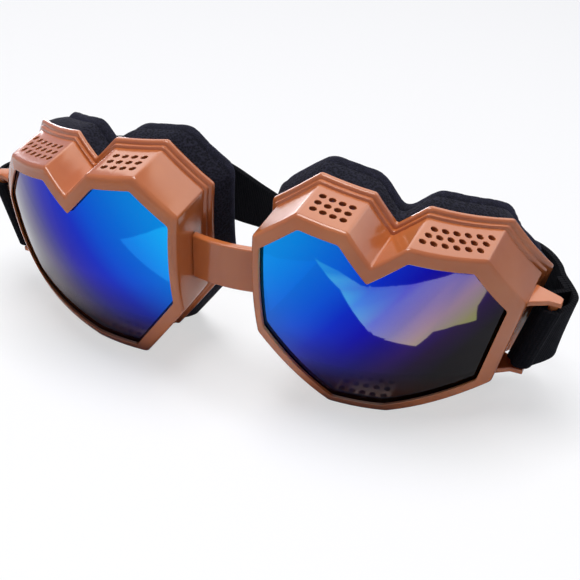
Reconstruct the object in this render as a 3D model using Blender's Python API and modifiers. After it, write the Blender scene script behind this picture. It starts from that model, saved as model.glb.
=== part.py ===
"""Heart-shaped strapped goggles: two faceted heart cups on a nose bridge, with mirror lenses, face pads
and a two-piece elastic strap that hooks together behind the head.

Everything is drawn in the face frame: +X towards the wearer's left, +Y from the lenses to the wearer and
+Z up, with Z zero at the cups' mid height. The goggles then tip back by their resting angle, onto the rims
and the rear flanges.
"""
import math

import bmesh
import bpy
from mathutils import Matrix, Vector

# Heart cup, in metres
CUP_WIDTH = 0.0777
CUP_HEIGHT = 0.0751
NOSE_SPAN = 0.0242
CUP_CENTRE_X = (NOSE_SPAN + CUP_WIDTH) / 2
CUP_DEPTH = 0.0184
CORNER_CUT = 0.0013
CORNER_FULLNESS = 0.25
EDGE_STEP = 0.0085

# Corners of the heart, clockwise from the upper nose side, as shares of the width and height from the middle
HEART_SHARES = (
    (-0.500, 0.355),
    (-0.322, 0.500),
    (-0.115, 0.471),
    (-0.016, 0.350),
    (0.102, 0.431),
    (0.364, 0.351),
    (0.500, 0.098),
    (0.393, -0.320),
    (0.007, -0.500),
    (-0.236, -0.500),
    (-0.494, -0.120),
)
NOSE_TOP, LOBE_IN_NOSE, LOBE_IN_CLEFT, CLEFT, LOBE_OUT_CLEFT, LOBE_OUT_TEMPLE = range(6)
TEMPLE_TOP, TEMPLE_FOOT, BASE_OUT, BASE_NOSE, NOSE_FOOT = range(6, 11)

# The wrapped front surface, which the rims, lenses, flanges and pads all follow
FACE_RADIUS_X = 0.0693
FACE_RADIUS_Z = 0.078
FACE_APEX_INSET = 0.01595
FACE_APEX_X = CUP_CENTRE_X - FACE_APEX_INSET
FACE_APEX_Z = 0.0135
WRAP_DEPTH = 0.0076
WRAP_REACH = FACE_APEX_INSET + CUP_WIDTH / 2

# Rim, walls and rear flange
WALL = 0.002
RIM_WIDTH = 0.0043
NOSE_RIM_WIDTH = 0.0028
RIM_THICKNESS = 0.0012
RIM_ROUND = 0.0012
RIM_ROUND_SHARE = 0.3
RIM_BEVEL = 0.0005
BEAD_HEIGHT = 0.0006
BEAD_WIDTH = 0.0012
STEP_REACH = 0.0009
STEP_WIDTH = 0.0012
FLANGE_REACH = 0.0021
FLANGE_THICKNESS = 0.002
FLANGE_ROUND = 0.0006

# Vents, drilled square to three of the facets
VENT_RADIUS = 0.00108
VENT_PITCH = 0.0034
VENT_ROW_PITCH = 0.0039
VENT_ROWS = 3
VENT_SIDES = 8
VENTS_INNER_LOBE = 4
VENTS_OUTER_LOBE = 6
VENTS_BASE = 5
VENT_SKEW = 0.0005
CUT_OVERRUN = 0.001

# Lens and the seal behind it
FIT_GAP = 0.0003
LENS_THICKNESS = 0.0016
SEAL_THICKNESS = 0.0008
SEAL_WIDTH = 0.0026
LENS_RING_SHARES = (1.0, 0.84, 0.62, 0.36)

# Face pads: a foam ring and the fleece cushion on it
FOAM_DEPTH = 0.0045
FOAM_OUTSET = 0.0014
PAD_WIDTH = 0.0084
FOAM_BULGE = 0.0004
FLEECE_DEPTH = 0.0062
FLEECE_OUTSET = 0.0018
FLEECE_WIDTH = 0.0088
FLEECE_SIDE_SHARE = 0.36
FLEECE_SHOULDER_SHARE = 0.78
FLEECE_CROWN_SHARE = 0.3
FLEECE_TUCK_SHARE = 0.05

# Nose bridge
BRIDGE_HEIGHT = 0.0155
BRIDGE_THICKNESS = 0.0025
BRIDGE_SETBACK = 0.0101
BRIDGE_BOW = 0.0016
BRIDGE_Z = 0.0079
BRIDGE_STEPS = 10
BRIDGE_ROUND = 0.0007

# Strap brackets on the temple sides: two arms and the bar between them
BAR_RADIUS = 0.0015
BAR_SETBACK = 0.0089
BAR_TOP_STAND = 0.0076
BAR_FOOT_STAND = 0.0058
ARM_TOP_Z = 0.0062
ARM_FOOT_Z = -0.0214
ARM_THICKNESS = 0.0018
ARM_ROOT_FRONT = 0.0052
ARM_ROOT_BACK = 0.0062
ARM_TIP = 0.0019
ARM_EMBED = 0.0012

# Elastic strap, in two halves that overlap behind the head
STRAP_WIDTH = 0.024
STRAP_THICKNESS = 0.0016
STRAP_BACK = 0.0415
STRAP_INNER_END_X = 0.002
STRAP_OUTER_END_X = 0.032
HOOK_THICKNESS = 0.0012
HOOK_LENGTH = 0.026
HOOK_MARGIN = 0.0015
LOOP_LENGTH = 0.03
PATCH_WIDTH = 0.020
LOOP_STEPS = 8
ROUTE_STEPS = 4

# Route of the outer layer from the bar, as shares of the way in to the middle and of the way back
ROUTE_SHARES = (
    (-0.057, 0.095),
    (-0.069, 0.190),
    (-0.054, 0.310),
    (-0.028, 0.430),
    (-0.001, 0.560),
    (0.049, 0.700),
    (0.125, 0.830),
    (0.225, 0.925),
    (0.355, 0.985),
    (0.540, 1.000),
)
TAIL_SHARES = ((-1.65, 0.055), (-1.15, 0.145))
TAIL_END_SHARE = 0.40
TAIL_START_SHARE = 0.24

# The band slopes like its bar beside the cups. Its slack middle hangs lower, tipped towards them
SLOPE_REACH = 0.020
TIP_ANGLE = math.radians(34)
TIP_REACH = 0.046
SLACK_DROP = 0.0105
DROP_REACH = 0.056

# Left and right are the wearer's, who looks along -Y
SIDES = {"left": 1, "right": -1}
SMOOTH_ANGLE = math.radians(40)


def fresh_scene():
    for thing in list(bpy.data.objects):
        bpy.data.objects.remove(thing, do_unlink=True)
    for name in ("heart_goggles", "cutters"):
        group = bpy.data.collections.new(name)
        bpy.context.scene.collection.children.link(group)
    return bpy.data.collections["heart_goggles"], bpy.data.collections["cutters"]


PARTS, CUTTERS = fresh_scene()


def finish(name, colour, roughness, metallic=0.0):
    """A Principled material with the part's plain colour."""
    material = bpy.data.materials.new(name)
    material.use_nodes = True
    shader = material.node_tree.nodes["Principled BSDF"]
    shader.inputs["Base Color"].default_value = (*colour, 1.0)
    shader.inputs["Roughness"].default_value = roughness
    shader.inputs["Metallic"].default_value = metallic
    return material


TAN_PLASTIC = finish("tan_moulded_plastic", (0.42, 0.135, 0.05), 0.32)
BLUE_MIRROR = finish("blue_mirror_polycarbonate", (0.01, 0.09, 0.62), 0.06, 0.85)
BLACK_RUBBER = finish("black_seal_rubber", (0.012, 0.012, 0.013), 0.55)
GREY_FOAM = finish("charcoal_foam", (0.03, 0.032, 0.037), 0.95)
BLACK_FLEECE = finish("black_fleece", (0.014, 0.015, 0.018), 0.95)
BLACK_ELASTIC = finish("black_brushed_elastic", (0.012, 0.012, 0.014), 0.9)
HOOK_TAPE = finish("black_hook_tape", (0.02, 0.02, 0.02), 0.6)


def put(name, mesh, material, group=PARTS):
    """A new object for a mesh, in the parts' or the cutters' collection."""
    thing = bpy.data.objects.new(name, mesh)
    group.objects.link(thing)
    if material:
        mesh.materials.append(material)
    if group is CUTTERS:
        thing.hide_render = True
        thing.display_type = "WIRE"
    return thing


def mesh_from(name, bm):
    bmesh.ops.recalc_face_normals(bm, faces=bm.faces)
    mesh = bpy.data.meshes.new(name)
    bm.to_mesh(mesh)
    bm.free()
    mesh.shade_smooth()
    mesh.set_sharp_from_angle(angle=SMOOTH_ANGLE)
    return mesh


def heart_corners(offset=0.0, nose_offset=None):
    """The heart's corners with its edges moved out by offset, the one along the nose by its own."""
    corners = [Vector((CUP_CENTRE_X + across * CUP_WIDTH, up * CUP_HEIGHT)) for across, up in HEART_SHARES]
    moves = [offset] * len(corners)
    if nose_offset is not None:
        moves[NOSE_FOOT] = nose_offset
    moved = []
    for i, corner in enumerate(corners):
        before = (corner - corners[i - 1]).normalized()
        after = (corners[(i + 1) % len(corners)] - corner).normalized()
        shift = after * moves[i - 1] - before * moves[i]
        moved.append(corner + shift / before.cross(after))
    return moved


CORNERS = heart_corners()
EDGE_LENGTHS = [(after - corner).length for corner, after in zip(CORNERS, [*CORNERS[1:], CORNERS[0]])]
EDGE_PARTS = [max(2, math.ceil(length / EDGE_STEP)) for length in EDGE_LENGTHS]


def front_depth(x, z):
    """Depth of the wrapped front surface behind its foremost point."""
    across = x - FACE_APEX_X
    up = z - FACE_APEX_Z
    bowl = across**2 / FACE_RADIUS_X / 2 + up**2 / FACE_RADIUS_Z / 2
    return bowl + WRAP_DEPTH * (across / WRAP_REACH) ** 3


def heart_ring(offset, depth, side=1, rounded=True, share=1.0, nose_offset=None):
    """Points round the heart at an offset from its outline and a depth behind the front surface."""
    corners = heart_corners(offset, nose_offset)
    hub = Vector((CUP_CENTRE_X, 0))
    points = []
    for i, corner in enumerate(corners):
        to_last = (corners[i - 1] - corner).normalized() * CORNER_CUT
        to_next = (corners[(i + 1) % len(corners)] - corner).normalized() * CORNER_CUT
        if rounded:
            points += [corner + to_last, corner + (to_last + to_next) * CORNER_FULLNESS, corner + to_next]
            begin = corner + to_next
        else:
            points.append(corner)
            begin = corner
        following = corners[(i + 1) % len(corners)]
        end = following - to_next if rounded else following
        parts = EDGE_PARTS[i]
        points += [begin.lerp(end, step / parts) for step in range(1, parts)]
    points = [hub + (point - hub) * share for point in points]
    return [Vector((side * point.x, front_depth(point.x, point.y) + depth, point.y)) for point in points]


def add_loops(bm, loops, closed):
    """Skin a list of point loops, joining the last to the first when closed."""
    rows = [[bm.verts.new(point) for point in loop] for loop in loops]
    pairs = list(zip(rows, rows[1:]))
    if closed:
        pairs.append((rows[-1], rows[0]))
    for lower, upper in pairs:
        for i in range(len(lower)):
            j = (i + 1) % len(lower)
            bm.faces.new((lower[i], upper[i], upper[j], lower[j]))
    return rows


def ring_solid(name, section, side, material, rounded=True):
    """A closed frame: (offset, depth[, offset at the nose]) points carried round the heart."""
    loops = []
    for offset, depth, *at_nose in section:
        nose_offset = at_nose[0] if at_nose else offset
        loops.append(heart_ring(offset, depth, side, rounded, nose_offset=nose_offset))
    bm = bmesh.new()
    add_loops(bm, loops, closed=True)
    return put(name, mesh_from(name, bm), material)


def lens_front():
    return RIM_THICKNESS + FIT_GAP


def seal_front():
    return lens_front() + LENS_THICKNESS + FIT_GAP


def seal_back():
    return seal_front() + SEAL_THICKNESS


def flange_back():
    return CUP_DEPTH + STEP_WIDTH + FLANGE_THICKNESS


def foam_back():
    return flange_back() + FIT_GAP + FOAM_DEPTH


def shell_section():
    """Section of the moulded cup, from the rim's outer edge round the inside to the flange."""
    bead = seal_back() + FIT_GAP
    back = flange_back()
    lip = CUP_DEPTH + STEP_WIDTH
    return [
        (0, RIM_ROUND),
        (-RIM_ROUND * RIM_ROUND_SHARE, RIM_ROUND * RIM_ROUND_SHARE),
        (-RIM_ROUND, 0),
        (-RIM_WIDTH + RIM_BEVEL, 0, -NOSE_RIM_WIDTH + RIM_BEVEL),
        (-RIM_WIDTH, RIM_BEVEL, -NOSE_RIM_WIDTH),
        (-RIM_WIDTH, RIM_THICKNESS, -NOSE_RIM_WIDTH),
        (-WALL, RIM_THICKNESS),
        (-WALL, bead),
        (-WALL - BEAD_HEIGHT, bead + BEAD_WIDTH / 2),
        (-WALL, bead + BEAD_WIDTH),
        (-WALL, back),
        (FLANGE_REACH - FLANGE_ROUND, back),
        (FLANGE_REACH, back - FLANGE_ROUND),
        (FLANGE_REACH, lip + FLANGE_ROUND),
        (FLANGE_REACH - FLANGE_ROUND, lip),
        (STEP_REACH, lip),
        (STEP_REACH, CUP_DEPTH),
        (0, CUP_DEPTH),
    ]


def vent_holes(bm, first, second, count, side, skew=0.0):
    """A grid of drills square to the facet between two corners of the heart."""
    start, end = CORNERS[first], CORNERS[second]
    along = (end - start).normalized()
    outward = Vector((-along.y, along.x))
    middle = (start + end) / 2
    axis = Vector((side * outward.x, 0, outward.y))
    turn = axis.to_track_quat("Z", "Y").to_matrix().to_4x4()
    length = WALL + 2 * CUT_OVERRUN
    for row in range(VENT_ROWS):
        row_place = row - (VENT_ROWS - 1) / 2
        for column in range(count):
            column_place = column - (count - 1) / 2
            spot = middle + along * (column_place * VENT_PITCH + row_place * skew) - outward * WALL / 2
            depth = front_depth(spot.x, spot.y) + CUP_DEPTH / 2 + row_place * VENT_ROW_PITCH
            bmesh.ops.create_cone(
                bm,
                cap_ends=True,
                segments=VENT_SIDES,
                radius1=VENT_RADIUS,
                radius2=VENT_RADIUS,
                depth=length,
                matrix=Matrix.Translation((side * spot.x, depth, spot.y)) @ turn,
            )


def vent_cutter(name, side):
    bm = bmesh.new()
    vent_holes(bm, LOBE_IN_NOSE, LOBE_IN_CLEFT, VENTS_INNER_LOBE, side)
    vent_holes(bm, LOBE_OUT_CLEFT, LOBE_OUT_TEMPLE, VENTS_OUTER_LOBE, side, VENT_SKEW)
    vent_holes(bm, BASE_OUT, BASE_NOSE, VENTS_BASE, side)
    return put(name, mesh_from(name, bm), None, CUTTERS)


def temple_x(z):
    """Where the temple wall's outer face lies at a height."""
    top, foot = CORNERS[TEMPLE_TOP], CORNERS[TEMPLE_FOOT]
    return foot.x + (top.x - foot.x) * (z - foot.y) / (top.y - foot.y)


def nose_x(z):
    """Where the nose wall's outer face lies at a height."""
    top, foot = CORNERS[NOSE_TOP], CORNERS[NOSE_FOOT]
    return foot.x + (top.x - foot.x) * (z - foot.y) / (top.y - foot.y)


def bar_x(z):
    """Where the bar's middle line lies at a height, standing off the temple wall."""
    rise = (z - ARM_FOOT_Z) / (ARM_TOP_Z - ARM_FOOT_Z)
    foot = temple_x(ARM_FOOT_Z) + BAR_FOOT_STAND
    top = temple_x(ARM_TOP_Z) + BAR_TOP_STAND
    return foot + (top - foot) * rise


TEMPLE_MIDDLE = (CORNERS[TEMPLE_TOP] + CORNERS[TEMPLE_FOOT]) / 2
BAR_Y = front_depth(TEMPLE_MIDDLE.x, TEMPLE_MIDDLE.y) + BAR_SETBACK
BRIDGE_Y = front_depth(nose_x(BRIDGE_Z), BRIDGE_Z) + BRIDGE_SETBACK


def flat_plate(name, outline, z, thickness):
    """A flat outline in plan, filled and thickened, as a mesh."""
    curve = bpy.data.curves.new(name, "CURVE")
    curve.dimensions = "2D"
    curve.fill_mode = "BOTH"
    curve.extrude = thickness / 2
    spline = curve.splines.new("POLY")
    spline.points.add(len(outline) - 1)
    for point, (x, y) in zip(spline.points, outline):
        point.co = (x, y, 0, 1)
    spline.use_cyclic_u = True
    drawn = bpy.data.objects.new(name, curve)
    CUTTERS.objects.link(drawn)
    bpy.context.view_layer.update()
    graph = bpy.context.evaluated_depsgraph_get()
    mesh = bpy.data.meshes.new_from_object(drawn.evaluated_get(graph))
    bpy.data.objects.remove(drawn, do_unlink=True)
    bm = bmesh.new()
    bm.from_mesh(mesh)
    bmesh.ops.remove_doubles(bm, verts=bm.verts, dist=FIT_GAP / 10)
    bmesh.ops.translate(bm, verts=bm.verts, vec=(0, 0, z))
    bpy.data.meshes.remove(mesh)
    return put(name, mesh_from(name, bm), None, CUTTERS)


def bracket_arm(name, z, side):
    """One pointed arm, from inside the temple wall out to the bar."""
    root = temple_x(z) - ARM_EMBED
    tip = bar_x(z)
    outline = [
        (side * root, BAR_Y - ARM_ROOT_FRONT),
        (side * (tip - ARM_TIP), BAR_Y - ARM_TIP),
        (side * (tip + ARM_TIP), BAR_Y - ARM_TIP),
        (side * (tip + ARM_TIP), BAR_Y + ARM_TIP / 2),
        (side * (tip + ARM_TIP / 2), BAR_Y + ARM_TIP),
        (side * root, BAR_Y + ARM_ROOT_BACK),
    ]
    return flat_plate(name, outline, z, ARM_THICKNESS)


def bar_frame(side):
    """The bar's middle and direction, its Z along the bar."""
    foot = Vector((side * bar_x(ARM_FOOT_Z), BAR_Y, ARM_FOOT_Z))
    top = Vector((side * bar_x(ARM_TOP_Z), BAR_Y, ARM_TOP_Z))
    turn = (top - foot).to_track_quat("Z", "Y").to_matrix().to_4x4()
    return Matrix.Translation((foot + top) / 2) @ turn, (top - foot).length


def bracket_bar(name, side):
    """The round bar that the strap loops over, let into both arms."""
    frame, length = bar_frame(side)
    bm = bmesh.new()
    bmesh.ops.create_cone(
        bm,
        cap_ends=True,
        segments=VENT_SIDES * 2,
        radius1=BAR_RADIUS,
        radius2=BAR_RADIUS,
        depth=length,
        matrix=frame,
    )
    return put(name, mesh_from(name, bm), None, CUTTERS)


def add_boolean(thing, other, operation):
    step = thing.modifiers.new(other.name, "BOOLEAN")
    step.operation = operation
    step.solver = "EXACT"
    step.object = other


def make_cup(word, side):
    """One cup: rim, walls, flange, bead, vents and strap bracket, all one moulding."""
    cup = ring_solid(f"cup_{word}", shell_section(), side, TAN_PLASTIC)
    for piece in (
        bracket_bar(f"bar_{word}", side),
        bracket_arm(f"upper_arm_{word}", ARM_TOP_Z, side),
        bracket_arm(f"lower_arm_{word}", ARM_FOOT_Z, side),
    ):
        add_boolean(cup, piece, "UNION")
    add_boolean(cup, vent_cutter(f"vents_{word}", side), "DIFFERENCE")
    return cup


def make_seal(word, side):
    """The flat rubber ring that beds the lens's back edge, between it and the bead."""
    outer = -WALL - FIT_GAP
    inner = outer - SEAL_WIDTH
    front, back = seal_front(), seal_back()
    section = [(outer, front), (inner, front), (inner, back), (outer, back)]
    return ring_solid(f"lens_seal_{word}", section, side, BLACK_RUBBER, rounded=False)


def make_lens(word, side):
    """The curved lens, held between the rim and its seal."""
    name = f"lens_{word}"
    edge = -WALL - FIT_GAP
    front = lens_front()
    back = front + LENS_THICKNESS
    loops = [heart_ring(edge, front, side, False, share) for share in reversed(LENS_RING_SHARES)]
    loops += [heart_ring(edge, back, side, False, share) for share in LENS_RING_SHARES]
    bm = bmesh.new()
    rows = add_loops(bm, loops, closed=False)
    for row, depth in ((rows[0], front), (rows[-1], back)):
        hub = bm.verts.new((side * CUP_CENTRE_X, front_depth(CUP_CENTRE_X, 0) + depth, 0))
        for i, vertex in enumerate(row):
            bm.faces.new((hub, vertex, row[(i + 1) % len(row)]))
    return put(name, mesh_from(name, bm), BLUE_MIRROR)


def make_foam(word, side):
    """The foam ring glued to the flange's back, slightly swollen at its sides."""
    front = flange_back() + FIT_GAP
    middle = front + FOAM_DEPTH / 2
    back = front + FOAM_DEPTH
    inner = FOAM_OUTSET - PAD_WIDTH
    section = [
        (FOAM_OUTSET, front),
        (inner, front),
        (inner - FOAM_BULGE, middle),
        (inner, back),
        (FOAM_OUTSET, back),
        (FOAM_OUTSET + FOAM_BULGE, middle),
    ]
    return ring_solid(f"pad_foam_{word}", section, side, GREY_FOAM)


def make_fleece(word, side):
    """The crowned fleece cushion that lies on the face."""
    front = foam_back() + FIT_GAP
    outer = FLEECE_OUTSET
    inner = outer - FLEECE_WIDTH
    shoulder = FLEECE_DEPTH * FLEECE_SHOULDER_SHARE
    side_depth = FLEECE_DEPTH * FLEECE_SIDE_SHARE
    crown = FLEECE_WIDTH * FLEECE_CROWN_SHARE
    tuck = FLEECE_WIDTH * FLEECE_TUCK_SHARE
    section = [
        (outer - tuck, front),
        (inner + tuck, front),
        (inner, front + side_depth),
        (inner + tuck * 2, front + shoulder),
        (inner + crown, front + FLEECE_DEPTH),
        (outer - crown, front + FLEECE_DEPTH),
        (outer - tuck * 2, front + shoulder),
        (outer, front + side_depth),
    ]
    return ring_solid(f"pad_fleece_{word}", section, side, BLACK_FLEECE)


def make_bridge():
    """The flat bowed band that joins the two nose walls."""
    name = "nose_bridge"
    top, foot = BRIDGE_Z + BRIDGE_HEIGHT / 2, BRIDGE_Z - BRIDGE_HEIGHT / 2
    section = [
        (BRIDGE_ROUND, foot),
        (0, foot + BRIDGE_ROUND),
        (0, top - BRIDGE_ROUND),
        (BRIDGE_ROUND, top),
        (BRIDGE_THICKNESS, top),
        (BRIDGE_THICKNESS, foot),
    ]
    bm = bmesh.new()
    rows = []
    for step in range(BRIDGE_STEPS + 1):
        place = 2 * step / BRIDGE_STEPS - 1
        front = BRIDGE_Y - BRIDGE_BOW * (1 - place**2)
        rows.append([bm.verts.new((place * (nose_x(z) - FIT_GAP), front + y, z)) for y, z in section])
    for row, after in zip(rows, rows[1:]):
        for i in range(len(row)):
            j = (i + 1) % len(row)
            bm.faces.new((row[i], row[j], after[j], after[i]))
    bm.faces.new(rows[0])
    bm.faces.new(rows[-1])
    return put(name, mesh_from(name, bm), TAN_PLASTIC)


def smooth(points, steps):
    """A smooth plan route through a list of points."""
    padded = [2 * points[0] - points[1], *points, 2 * points[-1] - points[-2]]
    route = []
    for a, b, c, d in zip(padded, padded[1:], padded[2:], padded[3:]):
        for step in range(steps):
            t = step / steps
            bend = (2 * a - 5 * b + 4 * c - d) * t**2 + (3 * b - a - 3 * c + d) * t**3
            route.append((2 * b + (c - a) * t + bend) / 2)
    return [*route, points[-1]]


def beside(route, distance):
    """A route moved to its left by a distance."""
    moved = []
    for i, point in enumerate(route):
        along = (route[min(i + 1, len(route) - 1)] - route[max(i - 1, 0)]).normalized()
        moved.append(point + Vector((-along.y, along.x)) * distance)
    return moved


def strap_route(end_x, layer):
    """Centre line of one strap half in plan, from its sewn tail round the bar to its free end."""
    bar = Vector((bar_x((ARM_TOP_Z + ARM_FOOT_Z) / 2), BAR_Y))
    back = STRAP_BACK + layer
    wrap = BAR_RADIUS + FIT_GAP + STRAP_THICKNESS / 2
    loop = [
        bar + wrap * Vector((math.cos(angle), math.sin(angle)))
        for angle in (math.pi * (1 + step / LOOP_STEPS) for step in range(LOOP_STEPS + 1))
    ]
    shape = [bar + Vector((-inward * bar.x, behind * back)) for inward, behind in ROUTE_SHARES]
    shape.append(Vector((end_x, bar.y + back)))
    main = smooth([loop[-1], *shape], ROUTE_STEPS)
    sewn = [
        point
        for point in beside(main, STRAP_THICKNESS + FIT_GAP)
        if TAIL_START_SHARE < (point.y - bar.y) / STRAP_BACK < TAIL_END_SHARE
    ]
    slack = [bar + Vector((wrap * across, behind * STRAP_BACK)) for across, behind in TAIL_SHARES]
    tail = smooth([loop[0], *slack, sewn[0]], ROUTE_STEPS)[:-1] + sewn
    return [*reversed(tail), *loop[1:-1], *main]


def eased(past, reach):
    """From one at the start of a reach, smoothly down to zero at its end."""
    near = min(1, max(0, 1 - past / reach))
    return near**2 * (3 - 2 * near)


def ribbon(name, route, side, width, thickness, material, slack_x):
    """A band on edge: a plan route carried up across the band's width, then thickened."""
    middle_z = (ARM_TOP_Z + ARM_FOOT_Z) / 2
    slope = (bar_x(ARM_TOP_Z) - bar_x(ARM_FOOT_Z)) / (ARM_TOP_Z - ARM_FOOT_Z)
    bm = bmesh.new()
    low, high = [], []
    for point in route:
        sloped = slope * eased(point.y - BAR_Y, SLOPE_REACH)
        tip = TIP_ANGLE * eased(point.x - slack_x, TIP_REACH)
        drop = SLACK_DROP * eased(point.x - slack_x, DROP_REACH)
        centre = Vector((point.x, point.y, middle_z - drop))
        up = Vector((sloped, -math.tan(tip), 1)).normalized() * (width / 2)
        for row, spot in ((low, centre - up), (high, centre + up)):
            row.append(bm.verts.new((side * spot.x, spot.y, spot.z)))
    for i in range(len(route) - 1):
        bm.faces.new((low[i], low[i + 1], high[i + 1], high[i]))
    thing = put(name, mesh_from(name, bm), material)
    wall = thing.modifiers.new("thickness", "SOLIDIFY")
    wall.thickness = thickness
    wall.offset = 0
    wall.use_even_offset = True
    return thing


def hook_layer():
    """How far the outer strap end lies behind the inner one, with both tapes between them."""
    return (STRAP_THICKNESS + 2 * HOOK_THICKNESS + 3 * FIT_GAP) / math.cos(TIP_ANGLE)


def make_strap_half(word, end_x, layer, slack_x):
    """One half of the strap, sewn in a loop round its bar."""
    route = strap_route(end_x, layer)
    return ribbon(f"strap_{word}", route, SIDES[word], STRAP_WIDTH, STRAP_THICKNESS, BLACK_ELASTIC, slack_x)


def make_patch(name, side, start_x, length, y, material):
    """A flat tape sewn to a strap end."""
    route = [Vector((start_x, y)), Vector((start_x + length, y))]
    return ribbon(name, route, side, PATCH_WIDTH, HOOK_THICKNESS, material, start_x + length)


def make_tapes():
    """The loop tape on the inner end's back and the hook tape on the outer end's front."""
    step = (STRAP_THICKNESS / 2 + FIT_GAP + HOOK_THICKNESS / 2) / math.cos(TIP_ANGLE)
    inner_y = BAR_Y + STRAP_BACK + step
    outer_y = BAR_Y + STRAP_BACK + hook_layer() - step
    loop_start = STRAP_INNER_END_X + HOOK_MARGIN
    hook_start = HOOK_MARGIN - STRAP_OUTER_END_X
    loop_tape = make_patch("loop_tape", SIDES["left"], loop_start, LOOP_LENGTH, inner_y, BLACK_FLEECE)
    hook_tape = make_patch("hook_tape", SIDES["right"], hook_start, HOOK_LENGTH, outer_y, HOOK_TAPE)
    return loop_tape, hook_tape


def add_empty(name, matrix, parent=None):
    empty = bpy.data.objects.new(name, None)
    PARTS.objects.link(empty)
    empty.parent = parent
    empty.matrix_local = matrix
    return empty


def hang_strap(word, rest, things):
    """Hang one strap half and its tape from an empty that lies along its bar."""
    frame, _ = bar_frame(SIDES[word])
    pivot = add_empty(f"strap_pivot_{word}", frame, rest)
    for thing in things:
        thing.parent = pivot
        thing.matrix_parent_inverse = frame.inverted()
    return things


def world_corners(things):
    """All the parts' points in the world, as their finished shapes have them."""
    bpy.context.view_layer.update()
    graph = bpy.context.evaluated_depsgraph_get()
    points = []
    for thing in things:
        shape = thing.evaluated_get(graph)
        mesh = shape.to_mesh()
        points += [shape.matrix_world @ vertex.co for vertex in mesh.vertices]
        shape.to_mesh_clear()
    return points


def main():
    resting_angle = math.atan2(FLANGE_REACH, CUP_DEPTH + STEP_WIDTH + FLANGE_ROUND - RIM_ROUND)
    rest = add_empty("resting_pose", Matrix.Rotation(resting_angle, 4, "X"))
    fixed = [make_bridge()]
    for word, side in SIDES.items():
        for make in (make_cup, make_seal, make_lens, make_foam, make_fleece):
            fixed.append(make(word, side))
    for thing in [*fixed, *CUTTERS.objects]:
        thing.parent = rest
    loop_tape, hook_tape = make_tapes()
    inner_half = make_strap_half("left", STRAP_INNER_END_X, 0.0, STRAP_OUTER_END_X + HOOK_MARGIN)
    outer_half = make_strap_half("right", -STRAP_OUTER_END_X, hook_layer(), -STRAP_INNER_END_X)
    hung = hang_strap("left", rest, [inner_half, loop_tape])
    hung += hang_strap("right", rest, [outer_half, hook_tape])
    points = world_corners([*fixed, *hung])
    depths = [point.y for point in points]
    rest.location = (0, -(min(depths) + max(depths)) / 2, -min(point.z for point in points))


main()
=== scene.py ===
"""Looks for the heart-shaped strapped goggles: moulded tan cups, blue mirror lenses, fleece pads and a woven strap.

Lengths are in metres. Pieces are drawn in the face frame (+X the wearer's left, +Y towards the wearer, Z zero at the
cups' mid height) and then tipped into the goggles' resting pose, with their place in their mesh.
"""
import math

import bmesh
import bpy
from mathutils import Matrix, Vector


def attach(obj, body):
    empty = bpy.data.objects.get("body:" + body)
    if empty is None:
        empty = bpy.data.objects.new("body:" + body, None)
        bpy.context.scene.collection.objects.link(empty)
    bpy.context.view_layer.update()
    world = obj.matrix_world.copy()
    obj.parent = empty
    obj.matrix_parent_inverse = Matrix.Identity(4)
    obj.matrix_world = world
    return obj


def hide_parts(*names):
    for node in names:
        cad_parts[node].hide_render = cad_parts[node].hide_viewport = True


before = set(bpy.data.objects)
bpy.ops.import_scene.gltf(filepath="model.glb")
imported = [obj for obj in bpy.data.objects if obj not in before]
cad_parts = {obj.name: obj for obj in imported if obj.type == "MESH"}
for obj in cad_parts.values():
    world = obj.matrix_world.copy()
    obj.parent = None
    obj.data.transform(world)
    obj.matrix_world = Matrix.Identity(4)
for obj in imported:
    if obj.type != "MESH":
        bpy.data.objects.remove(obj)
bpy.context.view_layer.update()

# Heart cup
CUP_WIDTH = 0.0777
CUP_HEIGHT = 0.0751
CUP_CENTRE_X = 0.05095
CUP_DEPTH = 0.0184
CORNER_CUT = 0.0008
CORNER_STEPS = 4
EDGE_STEP = 0.004

# Corners of the heart, clockwise from the upper nose side, as shares of the width and height from the middle
HEART_SHARES = (
    (-0.500, 0.355), (-0.322, 0.500), (-0.115, 0.471), (-0.016, 0.350), (0.102, 0.431), (0.364, 0.351),
    (0.500, 0.098), (0.393, -0.320), (0.007, -0.500), (-0.236, -0.500), (-0.494, -0.120),
)
NOSE_TOP, LOBE_IN_NOSE, LOBE_IN_CLEFT = 0, 1, 2
LOBE_OUT_CLEFT, LOBE_OUT_TEMPLE = 4, 5
TEMPLE_TOP, TEMPLE_FOOT, BASE_OUT, BASE_NOSE, NOSE_FOOT = 6, 7, 8, 9, 10

# The wrapped front surface, which the rims, lenses, flanges and pads all follow
FACE_RADIUS_X = 0.0693
FACE_RADIUS_Z = 0.078
FACE_APEX_X = 0.035
FACE_APEX_Z = 0.0135
WRAP_DEPTH = 0.0076
WRAP_REACH = 0.0548

# Rim, walls and rear flange
WALL = 0.002
RIM_WIDTH = 0.0043
NOSE_RIM_WIDTH = 0.0028
RIM_THICKNESS = 0.0012
RIM_ROUND = 0.0011
LIP_ROUND = 0.0005
BEAD_HEIGHT = 0.0006
BEAD_WIDTH = 0.0012
STEP_REACH = 0.0009
STEP_WIDTH = 0.0012
STEP_ROUND = 0.0003
FLANGE_REACH = 0.0021
FLANGE_THICKNESS = 0.002
FLANGE_ROUND = 0.0006
FLANGE_BACK = CUP_DEPTH + STEP_WIDTH + FLANGE_THICKNESS

# The goggles rest on their rims and flanges, whose feet stand this far apart from front to back
REST_RUN = 0.0190
REST_PLACE = (0, -0.04626, 0.03535)
REST = Matrix.Translation(REST_PLACE) @ Matrix.Rotation(math.atan2(FLANGE_REACH, REST_RUN), 4, "X")

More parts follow.
